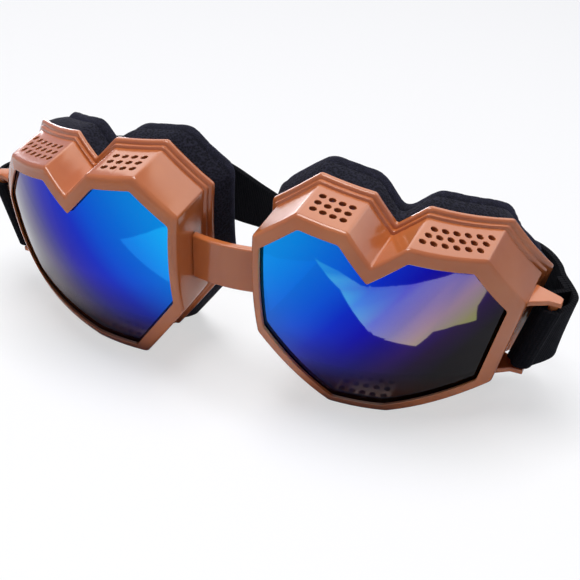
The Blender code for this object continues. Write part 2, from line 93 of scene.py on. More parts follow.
# Vents: for each grid the facet's two corners, the holes in a row, how far a row shifts from the last, and the pitch
VENT_GRIDS = (
    (LOBE_IN_NOSE, LOBE_IN_CLEFT, 4, 0.0, 0.0032),
    (LOBE_OUT_CLEFT, LOBE_OUT_TEMPLE, 6, 0.0005, 0.0031),
    (BASE_OUT, BASE_NOSE, 5, 0.0, 0.0034),
)
VENT_ROWS = 3
VENT_ROW_PITCH = 0.0038
VENT_RADIUS = 0.00112
VENT_SETBACK = 0.0007
DRILL_OVERRUN = 0.001
COUNTERSINK_START = 0.00012
COUNTERSINK_DEPTH = 0.00014
COUNTERSINK_FLARE = 1.14

# Lens, and the rubber seal behind it
FIT_GAP = 0.0003
LENS_THICKNESS = 0.0016
LENS_EDGE = -WALL - FIT_GAP
LENS_FRONT = RIM_THICKNESS + FIT_GAP
LENS_BACK = LENS_FRONT + LENS_THICKNESS
LENS_RING_SHARES = (1.0, 0.93, 0.86, 0.78, 0.7, 0.61, 0.52, 0.42, 0.31, 0.2, 0.09, 0.0)
SEAL_THICKNESS = 0.0008
SEAL_WIDTH = 0.0026
SEAL_FRONT = LENS_BACK + FIT_GAP
SEAL_BACK = SEAL_FRONT + SEAL_THICKNESS

# Face pads: a foam ring, and the fleece cushion that is puffed up by cloth simulation on it
PAD_FRONT = FLANGE_BACK + FIT_GAP
FOAM_DEPTH = 0.0045
FOAM_BACK = PAD_FRONT + FOAM_DEPTH
FOAM_OUTSET = 0.0014
PAD_WIDTH = 0.0084
FOAM_BULGE = 0.0003
FOAM_FLARE = 0.0006
FOAM_CORNER = 0.0026
FOAM_STEPS = 5
FLEECE_FRONT = FOAM_BACK + FIT_GAP
FLEECE_DEPTH = 0.0072
FLEECE_OUTSET = 0.0018
FLEECE_WIDTH = 0.0088
FLEECE_CORNER = 0.0032
FLEECE_EDGE_STEP = 0.0025
FLEECE_STEPS = 24
FLEECE_WAIST_SHARE = 0.42
FLEECE_CROWN_SHARE = 0.58
FLEECE_GLUED_POWER = 0.3
FLEECE_SIDE_POWER = 0.6
FLEECE_BACK_POWER = 0.75
GLUED_DEPTH = 0.0013
PUFF_LIMIT = 0.0013
CLOTH_SCALE = 10
CLOTH_VOXEL = 0.0115
CLOTH_PRESSURE = 4.0
CLOTH_FRAMES = 20

# How the soft pads settle: they lean along X, rise at both lobes and draw in at the upper temple corner
PAD_LEANS = {"left": -0.0005, "right": 0.0030}
PAD_CLEFT_X = 0.0495
PAD_CLEFT_REACH = 0.010
PAD_LOBE_Z = 0.010
PAD_LOBE_REACH = 0.012
PAD_INNER_RISE = 0.0015
PAD_OUTER_RISE = 0.0008
PAD_TEMPLE_X = 0.074
PAD_TEMPLE_REACH = 0.011
PAD_TEMPLE_Z = -0.012
PAD_TEMPLE_RISE_REACH = 0.012
PAD_TEMPLE_DRAW = 0.0040
PAD_TEMPLE_DROP = 0.0022

# Nose bridge
BRIDGE_Z = 0.0079
BRIDGE_HEIGHT = 0.0155
BRIDGE_THICKNESS = 0.0025
BRIDGE_BOW = 0.0016
BRIDGE_SETBACK = 0.0101
BRIDGE_FRONT_ROUND = 0.0007
BRIDGE_BACK_ROUND = 0.0004
BRIDGE_STEPS = 24

# Strap brackets on the temple walls: two arms and the bar between them
BAR_Y = 0.03646
BAR_RADIUS = 0.0015
BAR_TOP_X = 0.097089
BAR_FOOT_X = 0.087986
ARM_TOP_Z = 0.0062
ARM_FOOT_Z = -0.0214
ARM_MIDDLE_Z = (ARM_TOP_Z + ARM_FOOT_Z) / 2
ARM_THICKNESS = 0.0018
ARM_ROOT_FRONT = 0.0052
ARM_ROOT_BACK = 0.0062
ARM_TIP = 0.0019
ARM_EMBED = 0.0012
ARM_ROUND = 0.00035
BAR_SLOPE = (BAR_TOP_X - BAR_FOOT_X) / (ARM_TOP_Z - ARM_FOOT_Z)

# Elastic strap, whose route runs from the bar as shares of the way in to the middle and of the way back
STRAP_WIDTH = 0.024
STRAP_THICKNESS = 0.0016
STRAP_BACK = 0.0415
STRAP_END_X = {"left": 0.002, "right": -0.032}
SLACK_START_X = {"left": 0.0335, "right": -0.002}
ROUTE_SHARES = (
    (-0.057, 0.095), (-0.069, 0.190), (-0.054, 0.310), (-0.028, 0.430), (-0.001, 0.560),
    (0.049, 0.700), (0.125, 0.830), (0.225, 0.925), (0.355, 0.985), (0.540, 1.000),
)
TAIL_SHARES = ((-1.65, 0.055), (-1.15, 0.145))
TAIL_START_SHARE = 0.24
TAIL_END_SHARE = 0.40
LOOP_STEPS = 16
ROUTE_STEPS = 8

# The band slopes like its bar beside the cups. Its slack middle hangs lower, tipped towards them
SLOPE_REACH = 0.020
TIP_ANGLE = math.radians(34)
TIP_REACH = 0.046
SLACK_DROP = 0.0105
DROP_REACH = 0.056

# Hook and loop tapes between the strap's two layers, and how far back the outer layer and a tape lie
TAPE_WIDTH = 0.020
TAPE_THICKNESS = 0.0012
TAPE_MARGIN = 0.0015
TAPE_ROUND = 0.0003
TAPE_STEPS = 12
LOOP_TAPE_LENGTH = 0.030
HOOK_TAPE_LENGTH = 0.026
OUTER_LAYER = (STRAP_THICKNESS + 2 * TAPE_THICKNESS + 3 * FIT_GAP) / math.cos(TIP_ANGLE)
TAPE_LAYER = (STRAP_THICKNESS / 2 + FIT_GAP + TAPE_THICKNESS / 2) / math.cos(TIP_ANGLE)

# The mirror coating's gradient, per metre out from the nose and up, whose dark end towards the temple's foot is
# painted shade, and where the coating thins at the lens's foot
GRADIENT_AND_SHADE_PER_X = 9.70
GRADIENT_AND_SHADE_PER_Z = -7.157
GRADIENT_AND_SHADE_START = 0.302
GRADIENT_AND_SHADE_DRIFT = 0.06
COATING_THIN_Z = 0.006
COATING_FULL_Z = 0.022
COATING_THIN_ALPHA = 0.5

# Camera, floor, and the cards that the lenses mirror
CAMERA_PLACE = (0.1529, -0.3707, 0.2383)
CAMERA_LENS = 84.31
CAMERA_AZIMUTH = math.radians(21.41)
CAMERA_ELEVATION = math.radians(28.58)
CAMERA_ROLL = math.radians(3.06)
FLOOR_SIZE = 6
FLOOR_LIFT = 0.6
CARD_HEIGHT = 0.0005
WINDOW_OUTLINE = (
    (-0.024, -0.178), (0.029, -0.118), (0.052, -0.068), (0.057, -0.064), (0.077, -0.049), (0.093, -0.053),
    (0.108, -0.047), (0.120, -0.038), (0.134, -0.045), (0.156, -0.048), (0.181, -0.071), (0.174, -0.104),
    (0.135, -0.119), (0.086, -0.129), (0.053, -0.133), (0.021, -0.161),
)
WINDOW_TINTS = (
    (0.25, "#613805"), (0.31, "#A2590F"), (0.38, "#A85D13"), (0.47, "#B5A024"),
    (0.53, "#C8DE2A"), (0.61, "#BDE235"), (0.66, "#9BC73A"), (0.75, "#99C03F"),
)
LOW_OUTLINE = ((-0.063, -0.115), (-0.015, -0.172), (-0.008, -0.055))
LOW_TINTS = ((0.0, "#FFD37C"), (1.0, "#FFD37C"))


# Colour and node helpers
def linear(code):
    """An sRGB hex colour as the linear numbers that a shader expects."""
    channels = [int(code[i:i + 2], 16) / 255 for i in (1, 3, 5)]
    return (*[c / 12.92 if c <= 0.04045 else ((c + 0.055) / 1.055) ** 2.4 for c in channels], 1.0)


def add(tree, kind, settings=None, links=None, stops=()):
    """Add a node, give its properties, inputs and ramp stops their values, and link its inputs to other sockets."""
    node = tree.nodes.new(kind)
    for name, value in (settings or {}).items():
        if isinstance(name, str) and hasattr(node, name):
            setattr(node, name, value)
        else:
            node.inputs[name].default_value = value
    for name, source in (links or {}).items():
        tree.links.new(source, node.inputs[name])
    for index, (where, colour) in enumerate(stops):
        elements = node.color_ramp.elements
        stop = elements[index] if index < 2 else elements.new(where)
        stop.position = where
        stop.color = linear(colour)
    return node


def principled(name, colour, **values):
    """A named Principled material whose constant sockets are set directly."""
    material = bpy.data.materials.new(name)
    material.use_nodes = True
    shader = material.node_tree.nodes["Principled BSDF"]
    shader.inputs["Base Color"].default_value = linear(colour)
    for socket, value in values.items():
        shader.inputs[socket.replace("_", " ")].default_value = value
    return material, material.node_tree, shader


def cells(millimetres):
    """The scale of a noise or cell texture whose detail is that many millimetres across."""
    return 1000 / millimetres


def bands(millimetres):
    """The scale of a wave texture whose bands lie that many millimetres apart."""
    return 1000 / millimetres * math.pi / 10


# Shape helpers
def front_depth(x, z):
    """Depth of the wrapped front behind its foremost point."""
    across, up = x - FACE_APEX_X, z - FACE_APEX_Z
    return across**2 / FACE_RADIUS_X / 2 + up**2 / FACE_RADIUS_Z / 2 + WRAP_DEPTH * (across / WRAP_REACH) ** 3


def heart_corners(offset=0.0, nose_offset=None):
    """The heart's corners with its edges moved out by offset, the one along the nose by its own."""
    corners = [Vector((CUP_CENTRE_X + across * CUP_WIDTH, up * CUP_HEIGHT)) for across, up in HEART_SHARES]
    moves = [offset] * len(corners)
    if nose_offset is not None:
        moves[NOSE_FOOT] = nose_offset
    moved = []
    for i, corner in enumerate(corners):
        before = (corner - corners[i - 1]).normalized()
        after = (corners[(i + 1) % len(corners)] - corner).normalized()
        moved.append(corner + (after * moves[i - 1] - before * moves[i]) / before.cross(after))
    return moved


EDGE_LENGTHS = [(b - a).length for a, b in zip(heart_corners(), heart_corners()[1:] + heart_corners()[:1])]


def wall_x(top, foot, z):
    """Where the wall between two of the heart's corners has its outer face at a height."""
    corners = heart_corners()
    upper, lower = corners[top], corners[foot]
    return lower.x + (upper.x - lower.x) * (z - lower.y) / (upper.y - lower.y)


def heart_ring(offset, depth, nose_offset=None, cut=CORNER_CUT, step=EDGE_STEP, share=1.0):
    """Points round the heart, with corners rounded over a cut and the edges in even steps."""
    corners = heart_corners(offset, nose_offset)
    points = []
    for i, corner in enumerate(corners):
        following = corners[(i + 1) % len(corners)]
        to_last = (corners[i - 1] - corner).normalized() * cut
        to_next = (following - corner).normalized() * cut
        for turn in range(CORNER_STEPS + 1):
            t = turn / CORNER_STEPS
            points.append(corner + to_last * (1 - t) ** 2 + to_next * t**2)
        parts = max(2, round(EDGE_LENGTHS[i] / step))
        begin, end = corner + to_next, following - to_next
        points += [begin.lerp(end, part / parts) for part in range(1, parts)]
    hub = Vector((CUP_CENTRE_X, 0))
    points = [hub + (point - hub) * share for point in points]
    return [Vector((point.x, front_depth(point.x, point.y) + depth, point.y)) for point in points]


def arc(middle, radius, start, end, steps):
    """Points of a rounding in a section, from one angle to another in degrees."""
    angles = [math.radians(start + (end - start) * step / steps) for step in range(steps + 1)]
    return [(middle[0] + radius * math.cos(a), middle[1] + radius * math.sin(a)) for a in angles]


def ramp(value, start, reach):
    """Zero up to a start, then evenly up to one over a reach."""
    return min(1, max(0, (value - start) / reach))


def eased(past, reach):
    """From one at the start of a reach, smoothly down to zero at its end."""
    near = min(1, max(0, 1 - past / reach))
    return near**2 * (3 - 2 * near)


def choose(piece):
    """Select one piece alone and make it active."""
    bpy.ops.object.select_all(action="DESELECT")
    piece.select_set(True)
    bpy.context.view_layer.objects.active = piece


def loft(name, rings, closed=True, capped=False):
    """Extrude a circle primitive's edge from ring to ring, as by hand, and close the skin on itself or with caps."""
    bpy.ops.object.select_all(action="DESELECT")
    bpy.ops.mesh.primitive_circle_add(vertices=len(rings[0]), radius=CUP_WIDTH / 2, enter_editmode=True)
    piece = bpy.context.object
    piece.name = name
    bm = bmesh.from_edit_mesh(piece.data)
    place = bm.verts.layers.int.new("place")
    for vertex in bm.verts:
        vertex[place] = vertex.index
        vertex.co = rings[0][vertex.index]
    bmesh.update_edit_mesh(piece.data)
    last = [rings[0]] if closed else []
    for ring in rings[1:] + last:
        bpy.ops.mesh.extrude_region_move()
        bm = bmesh.from_edit_mesh(piece.data)
        place = bm.verts.layers.int["place"]
        for vertex in bm.verts:
            if vertex.select:
                vertex.co = ring[vertex[place]]
        bmesh.update_edit_mesh(piece.data)
    bpy.ops.mesh.select_all(action="SELECT")
    bpy.ops.mesh.remove_doubles(threshold=1e-6)
    if capped:
        bpy.ops.mesh.select_all(action="DESELECT")
        bpy.ops.mesh.select_non_manifold()
        bpy.ops.mesh.edge_face_add()
    bpy.ops.mesh.select_all(action="SELECT")
    bpy.ops.mesh.normals_make_consistent(inside=False)
    bpy.ops.object.mode_set(mode="OBJECT")
    return piece


def apply_modifier(piece, kind, **settings):
    """Add a modifier and apply it."""
    choose(piece)
    modifier = piece.modifiers.new(kind.lower(), kind)
    for name, value in settings.items():
        setattr(modifier, name, value)
    bpy.ops.object.modifier_apply(modifier=modifier.name)


def smooth_by_angle(piece, degrees):
    """Shade a piece smooth, but for its edges that are sharper than an angle."""
    choose(piece)
    bpy.ops.object.shade_smooth_by_angle(angle=math.radians(degrees))


def cut_out(piece, tool):
    """Take a tool's volume out of a piece."""
    apply_modifier(piece, "BOOLEAN", operation="DIFFERENCE", solver="EXACT", object=tool)
    bpy.data.objects.remove(tool, do_unlink=True)


def join_to(piece, other):
    """Melt another shape into a piece."""
    apply_modifier(piece, "BOOLEAN", operation="UNION", solver="EXACT", object=other)
    bpy.data.objects.remove(other, do_unlink=True)


def flip(piece):
    """Mirror a piece to the wearer's right, in its mesh."""
    piece.data.transform(Matrix.Scale(-1, 4, (1, 0, 0)))
    piece.data.flip_normals()


def mirrored(piece, name):
    """A copy of a left-hand piece for the wearer's right."""
    twin = piece.copy()
    twin.data = piece.data.copy()
    twin.name = name
    bpy.context.scene.collection.objects.link(twin)
    flip(twin)
    return twin


def rest(piece):
    """Tip a piece into the resting pose, in its mesh."""
    piece.data.transform(REST)
    piece.data.update()


# Moulded cups
def cup_section():
    """The moulding's section from the rim's outer rounding round the inside to the rear flange and back."""
    lip, bead = CUP_DEPTH + STEP_WIDTH, SEAL_BACK + FIT_GAP
    front = arc((-RIM_ROUND, RIM_ROUND), RIM_ROUND, 0, -90, 4)
    rim_edge = [
        (offset, depth, offset + RIM_WIDTH - NOSE_RIM_WIDTH)
        for offset, depth in arc((-RIM_WIDTH + LIP_ROUND, LIP_ROUND), LIP_ROUND, -90, -180, 3)
    ]
    inside = [
        (-RIM_WIDTH, RIM_THICKNESS, -NOSE_RIM_WIDTH),
        (-WALL, RIM_THICKNESS),
        (-WALL, bead),
        (-WALL - BEAD_HEIGHT, bead + BEAD_WIDTH / 2),
        (-WALL, bead + BEAD_WIDTH),
        (-WALL, FLANGE_BACK),
    ]
    flange = arc((FLANGE_REACH - FLANGE_ROUND, FLANGE_BACK - FLANGE_ROUND), FLANGE_ROUND, 90, 0, 3)
    flange += arc((FLANGE_REACH - FLANGE_ROUND, lip + FLANGE_ROUND), FLANGE_ROUND, 0, -90, 3)
    step = [(STEP_REACH, lip), *arc((STEP_REACH - STEP_ROUND, CUP_DEPTH + STEP_ROUND), STEP_ROUND, 0, -90, 2)]
    return [*front, *rim_edge, *inside, *flange, *step, (0, CUP_DEPTH)]


def vent_drill(spot, axis):
    """A round drill with a countersink that breaks the hole's outer edge."""
    turn = axis.to_track_quat("Z", "Y").to_matrix().to_4x4()
    bpy.ops.object.select_all(action="DESELECT")
    bpy.ops.mesh.primitive_cylinder_add(vertices=20, radius=VENT_RADIUS, depth=WALL + 2 * DRILL_OVERRUN)
    drill = bpy.context.object
    bpy.ops.object.mode_set(mode="EDIT")
    bm = bmesh.from_edit_mesh(drill.data)
    for face in bm.faces:
        face.select = face.normal.z > 0.9
    bm.select_flush(True)
    bmesh.update_edit_mesh(drill.data)
    bpy.ops.transform.translate(value=(0, 0, -DRILL_OVERRUN - COUNTERSINK_START))
    bpy.ops.mesh.extrude_region_move(TRANSFORM_OT_translate={"value": (0, 0, COUNTERSINK_DEPTH)})
    bpy.ops.transform.resize(value=(COUNTERSINK_FLARE, COUNTERSINK_FLARE, 1))
    bpy.ops.mesh.extrude_region_move(TRANSFORM_OT_translate={"value": (0, 0, DRILL_OVERRUN)})
    bpy.ops.object.mode_set(mode="OBJECT")
    drill.data.transform(Matrix.Translation(spot) @ turn)
    return drill


def vent_drills():
    """All the drills of one cup, as one tool, square to the two lobes' top facets and the base."""
    corners = heart_corners()
    drills = []
    for first, second, columns, skew, pitch in VENT_GRIDS:
        along = (corners[second] - corners[first]).normalized()
        outward = Vector((-along.y, along.x))
        middle = (corners[first] + corners[second]) / 2
        for row in range(VENT_ROWS):
            row_place = row - (VENT_ROWS - 1) / 2
            for column in range(columns):
                column_place = column - (columns - 1) / 2
                spot = middle + along * (column_place * pitch + row_place * skew) - outward * WALL / 2
                depth = front_depth(spot.x, spot.y) + CUP_DEPTH / 2 + VENT_SETBACK + row_place * VENT_ROW_PITCH
                drills.append(vent_drill(Vector((spot.x, depth, spot.y)), Vector((outward.x, 0, outward.y))))
    bpy.ops.object.select_all(action="DESELECT")
    for drill in drills:
        drill.select_set(True)
    bpy.context.view_layer.objects.active = drills[0]
    bpy.ops.object.join()
    return bpy.context.object


def bar_x(z):
    """Where the middle of the strap bar lies at a height."""
    return BAR_FOOT_X + (BAR_TOP_X - BAR_FOOT_X) * (z - ARM_FOOT_Z) / (ARM_TOP_Z - ARM_FOOT_Z)


def bracket_arm(z):
    """A pointed flat arm with softened edges, from inside the temple wall out to the bar."""
    root, tip = wall_x(TEMPLE_TOP, TEMPLE_FOOT, z) - ARM_EMBED, bar_x(z)
    outline = [
        (root, BAR_Y - ARM_ROOT_FRONT), (tip - ARM_TIP, BAR_Y - ARM_TIP), (tip + ARM_TIP, BAR_Y - ARM_TIP),
        (tip + ARM_TIP, BAR_Y + ARM_TIP / 2), (tip + ARM_TIP / 2, BAR_Y + ARM_TIP), (root, BAR_Y + ARM_ROOT_BACK),
    ]
    bpy.ops.object.select_all(action="DESELECT")
    bpy.ops.mesh.primitive_circle_add(
        vertices=len(outline), radius=ARM_ROOT_BACK, fill_type="NGON", enter_editmode=True
    )
    arm = bpy.context.object
    bm = bmesh.from_edit_mesh(arm.data)
    for vertex in bm.verts:
        vertex.co = (*outline[vertex.index], z - ARM_THICKNESS / 2)
    bmesh.update_edit_mesh(arm.data)
    bpy.ops.mesh.extrude_region_move(TRANSFORM_OT_translate={"value": (0, 0, ARM_THICKNESS)})
    bpy.ops.mesh.select_all(action="SELECT")
    bpy.ops.mesh.normals_make_consistent(inside=False)
    bpy.ops.object.mode_set(mode="OBJECT")
    apply_modifier(arm, "BEVEL", width=ARM_ROUND, segments=3, limit_method="ANGLE")
    return arm


def strap_bar():
    """The round bar between the two arms."""
    foot, top = Vector((BAR_FOOT_X, BAR_Y, ARM_FOOT_Z)), Vector((BAR_TOP_X, BAR_Y, ARM_TOP_Z))
    bpy.ops.object.select_all(action="DESELECT")
    bpy.ops.mesh.primitive_cylinder_add(vertices=32, radius=BAR_RADIUS, depth=(top - foot).length)
    bar = bpy.context.object
    turn = (top - foot).to_track_quat("Z", "Y").to_matrix().to_4x4()
    bar.data.transform(Matrix.Translation((foot + top) / 2) @ turn)
    return bar


def make_cup():
    """The whole moulding: the lofted heart, with its strap bracket joined on and its vents drilled."""
    cup = loft("moulded_cup_left", [heart_ring(*spot) for spot in cup_section()])
    for shape in (strap_bar(), bracket_arm(ARM_TOP_Z), bracket_arm(ARM_FOOT_Z)):
        join_to(cup, shape)
    cut_out(cup, vent_drills())
    smooth_by_angle(cup, degrees=32)
    apply_modifier(cup, "WEIGHTED_NORMAL", keep_sharp=True, weight=80)
    return cup


# Lens and its rubber seal
def make_lens():
    """The wrapped lens, in rings from its middle out to the edge and back in."""
    rings = [heart_ring(LENS_EDGE, LENS_FRONT, share=share) for share in reversed(LENS_RING_SHARES)]
    rings += [heart_ring(LENS_EDGE, LENS_BACK, share=share) for share in LENS_RING_SHARES]
    lens = loft("mirror_lens_left", rings, closed=False)
    smooth_by_angle(lens, degrees=40)
    return lens


def make_seal():
    """The flat ring that beds the lens's back edge, rounded on its inner side."""
    inner, half = LENS_EDGE - SEAL_WIDTH, SEAL_THICKNESS / 2
    rounding = arc((inner + half, SEAL_FRONT + half), half, -90, -270, 6)
    section = [(LENS_EDGE, SEAL_FRONT), *rounding, (LENS_EDGE, SEAL_BACK)]
    seal = loft("lens_seal_rubber_left", [heart_ring(*spot) for spot in section])
    smooth_by_angle(seal, degrees=40)
    return seal


# Face pads
def make_foam():
    """The foam ring glued to the flange, which widens towards the fleece and swells a little at its sides."""
    section = []
    for edge, swell in ((FOAM_OUTSET, 1), (FOAM_OUTSET - PAD_WIDTH, -1)):
        side = []
        for step in range(FOAM_STEPS + 1):
            share = step / FOAM_STEPS
            bulge = FOAM_BULGE * math.sin(math.pi * share) + FOAM_FLARE * share
            side.append((edge + swell * bulge, PAD_FRONT + FOAM_DEPTH * share))
        section += side if swell < 0 else side[::-1]
    foam = loft("foam_ring_left", [heart_ring(*spot, cut=FOAM_CORNER) for spot in section])
    smooth_by_angle(foam, degrees=50)
    return foam


def puffed(piece):
    """Blow a sewn cover up by cloth simulation at ten times its size, its glued side held, into the mesh."""
    scene = bpy.context.scene
    piece.data.transform(Matrix.Scale(CLOTH_SCALE, 4))
    apply_modifier(piece, "REMESH", mode="VOXEL", voxel_size=CLOTH_VOXEL)
    flat = [vertex.co.copy() for vertex in piece.data.vertices]
    held = [
        i for i, co in enumerate(flat)
        if co.y / CLOTH_SCALE - front_depth(co.x / CLOTH_SCALE, co.z / CLOTH_SCALE) < FLEECE_FRONT + GLUED_DEPTH
    ]
    glued = piece.vertex_groups.new(name="glued")
    glued.add(held, 1.0, "ADD")
    choose(piece)
    cloth = piece.modifiers.new("cloth", "CLOTH")
    cloth.settings.use_pressure = True
    cloth.settings.uniform_pressure_force = CLOTH_PRESSURE
    cloth.settings.vertex_group_mass = "glued"
    cloth.settings.effector_weights.gravity = 0
    cloth.point_cache.frame_start, cloth.point_cache.frame_end = 1, CLOTH_FRAMES
    for frame_number in range(1, CLOTH_FRAMES + 1):
        scene.frame_set(frame_number)
    bpy.ops.object.modifier_apply(modifier=cloth.name)
    scene.frame_set(1)
    for vertex, begin in zip(piece.data.vertices, flat):
        move = vertex.co - begin
        if move.length > PUFF_LIMIT * CLOTH_SCALE:
            vertex.co = begin + move.normalized() * PUFF_LIMIT * CLOTH_SCALE
    piece.vertex_groups.remove(piece.vertex_groups["glued"])
    apply_modifier(piece, "SUBSURF", levels=1, render_levels=1)
    piece.data.transform(Matrix.Scale(1 / CLOTH_SCALE, 4))


def settle_pad(piece, lean):
    """Draw a pad out at its lobes and in at its upper temple corner, and lean it along X, more the further back."""
    for vertex in piece.data.vertices:
        x, y, z = vertex.co
        out = abs(x)
        share = ramp(y - front_depth(out, z), PAD_FRONT, FOAM_DEPTH)
        lobe = ramp(z, PAD_LOBE_Z, PAD_LOBE_REACH) * ramp(abs(out - PAD_CLEFT_X), 0, PAD_CLEFT_REACH)
        temple = ramp(out, PAD_TEMPLE_X, PAD_TEMPLE_REACH) * ramp(z, PAD_TEMPLE_Z, PAD_TEMPLE_RISE_REACH)
        rise = PAD_INNER_RISE if out < PAD_CLEFT_X else PAD_OUTER_RISE - PAD_TEMPLE_DROP * temple
        vertex.co.x = x + share * (lean - math.copysign(PAD_TEMPLE_DRAW * temple, x))
        vertex.co.z = z + share * lobe * rise


def make_fleece():
    """The crowned fleece cushion: flat where it is glued to the foam and round behind."""
    middle = FLEECE_OUTSET - FLEECE_WIDTH / 2
    section = []
    for i in range(FLEECE_STEPS):
        angle = 2 * math.pi * (i + 0.5) / FLEECE_STEPS
        across, deep = math.cos(angle), math.sin(angle)
        if deep > 0:
            side_power, back_power, reach = FLEECE_SIDE_POWER, FLEECE_BACK_POWER, FLEECE_CROWN_SHARE
        else:
            side_power, back_power, reach = FLEECE_GLUED_POWER, FLEECE_GLUED_POWER, FLEECE_WAIST_SHARE
        wide = math.copysign(abs(across) ** side_power, across)
        high = math.copysign(abs(deep) ** back_power, deep)
        depth = FLEECE_FRONT + FLEECE_DEPTH * (FLEECE_WAIST_SHARE + reach * high)
        section.append((middle + wide * FLEECE_WIDTH / 2, depth))
    rings = [heart_ring(*spot, cut=FLEECE_CORNER, step=FLEECE_EDGE_STEP) for spot in section]
    fleece = loft("fleece_cushion_left", rings)
    puffed(fleece)
    smooth_by_angle(fleece, degrees=80)
    return fleece


# Nose bridge
def make_bridge():
    """The flat bowed band, its edges softened."""
    top, foot = BRIDGE_Z + BRIDGE_HEIGHT / 2, BRIDGE_Z - BRIDGE_HEIGHT / 2
    fore, back = BRIDGE_FRONT_ROUND, BRIDGE_BACK_ROUND
    section = arc((fore, foot + fore), fore, 270, 180, 3) + arc((fore, top - fore), fore, 180, 90, 3)
    section += arc((BRIDGE_THICKNESS - back, top - back), back, 90, 0, 2)
    section += arc((BRIDGE_THICKNESS - back, foot + back), back, 0, -90, 2)
    setback = front_depth(wall_x(NOSE_TOP, NOSE_FOOT, BRIDGE_Z), BRIDGE_Z) + BRIDGE_SETBACK
    rings = []
    for step in range(BRIDGE_STEPS + 1):
        place = 2 * step / BRIDGE_STEPS - 1
        front = setback - BRIDGE_BOW * (1 - place**2)
        rings.append([
            Vector((place * (wall_x(NOSE_TOP, NOSE_FOOT, z) - FIT_GAP), front + y, z)) for y, z in section
        ])
    band = loft("nose_bridge_band", rings, closed=False, capped=True)
    smooth_by_angle(band, degrees=35)
    apply_modifier(band, "WEIGHTED_NORMAL", keep_sharp=True, weight=80)
    return band


# Elastic strap and its tapes
def smooth_route(points):
    """A smooth plan route through a list of points."""
    padded = [2 * points[0] - points[1], *points, 2 * points[-1] - points[-2]]
    route = []
    for a, b, c, d in zip(padded, padded[1:], padded[2:], padded[3:]):
        for step in range(ROUTE_STEPS):
            t = step / ROUTE_STEPS
            bend = (2 * a - 5 * b + 4 * c - d) * t**2 + (3 * b - a - 3 * c + d) * t**3
            route.append((2 * b + (c - a) * t + bend) / 2)
    return [*route, points[-1]]


def beside(route, distance):
    """A route moved to its left by a distance."""
    moved = []
    for i, point in enumerate(route):
        along = (route[min(i + 1, len(route) - 1)] - route[max(i - 1, 0)]).normalized()
        moved.append(point + Vector((-along.y, along.x)) * distance)
    return moved


def strap_route(end_x, layer):
    """Centre line of a strap half in plan, from its sewn tail round the bar to its free end."""
    bar = Vector((bar_x(ARM_MIDDLE_Z), BAR_Y))
    back = STRAP_BACK + layer
    wrap = BAR_RADIUS + FIT_GAP + STRAP_THICKNESS / 2
    loop = []
    for step in range(LOOP_STEPS + 1):
        angle = math.pi * (1 + step / LOOP_STEPS)
        loop.append(bar + wrap * Vector((math.cos(angle), math.sin(angle))))
    shape = [bar + Vector((-inward * bar.x, behind * back)) for inward, behind in ROUTE_SHARES]
    shape.append(Vector((end_x, bar.y + back)))
    main = smooth_route([loop[-1], *shape])
    sewn = [
        point for point in beside(main, STRAP_THICKNESS + FIT_GAP)
        if TAIL_START_SHARE < (point.y - bar.y) / STRAP_BACK < TAIL_END_SHARE
    ]
    slack = [bar + Vector((wrap * across, behind * STRAP_BACK)) for across, behind in TAIL_SHARES]
    tail = smooth_route([loop[0], *slack, sewn[0]])[:-1] + sewn
    return [*reversed(tail), *loop[1:-1], *main]


def ribbon(name, route, width, thickness, slack_x, rows=12):
    """A band on edge, sloped like the bar beside it, whose slack middle hangs lower, tipped towards the cups."""
    bpy.ops.object.select_all(action="DESELECT")
    bpy.ops.mesh.primitive_grid_add(x_subdivisions=len(route) - 1, y_subdivisions=rows, size=width)
    band = bpy.context.object
    band.name = name
    columns = len(route)
    lengths = [0.0]
    for before, after in zip(route, route[1:]):
        lengths.append(lengths[-1] + (after - before).length)
    cloth = band.data.uv_layers.new(name="cloth")
    for corner in band.data.loops:
        row, column = divmod(corner.vertex_index, columns)
        cloth.data[corner.index].uv = (lengths[column], width * row / rows)
    for index, vertex in enumerate(band.data.vertices):
        point = route[index % columns]
        tip = TIP_ANGLE * eased(point.x - slack_x, TIP_REACH)
        up = Vector((BAR_SLOPE * eased(point.y - BAR_Y, SLOPE_REACH), -math.tan(tip), 1)).normalized()
        drop = SLACK_DROP * eased(point.x - slack_x, DROP_REACH)
        vertex.co = Vector((point.x, point.y, ARM_MIDDLE_Z - drop)) + up * width * (index // columns / rows - 0.5)
    apply_modifier(band, "SOLIDIFY", thickness=thickness, offset=0, use_even_offset=True)
    smooth_by_angle(band, degrees=50)
    return band


def make_tape(name, end_x, length, layer):
    """A flat tape on the slack part of a strap end, its edges softened."""
    start_x = end_x + TAPE_MARGIN
    route = [
        Vector((start_x + length * step / TAPE_STEPS, BAR_Y + STRAP_BACK + layer)) for step in range(TAPE_STEPS + 1)
    ]
    tape = ribbon(name, route, TAPE_WIDTH, TAPE_THICKNESS, start_x + length, rows=8)
    apply_modifier(tape, "BEVEL", width=TAPE_ROUND, segments=2, limit_method="ANGLE")
    smooth_by_angle(tape, degrees=50)
    return tape


def replace_pair(left, node, body="front", leans=None):
    """Rest a left piece and its mirrored twin, and let them stand for their CAD nodes."""
    pair = {"left": left, "right": mirrored(left, left.name.replace("_left", "_right"))}
    for word, piece in pair.items():
        if leans:
            settle_pad(piece, leans[word])
        rest(piece)
        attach(piece, body)
        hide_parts(f"{node}_{word}")
    return pair


cups = replace_pair(make_cup(), "cup")
lenses = replace_pair(make_lens(), "lens")
seals = replace_pair(make_seal(), "lens_seal")
foams = replace_pair(make_foam(), "pad_foam", leans=PAD_LEANS)
fleeces = replace_pair(make_fleece(), "pad_fleece", leans=PAD_LEANS)
bridge = make_bridge()
rest(bridge)
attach(bridge, "front")
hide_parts("nose_bridge")

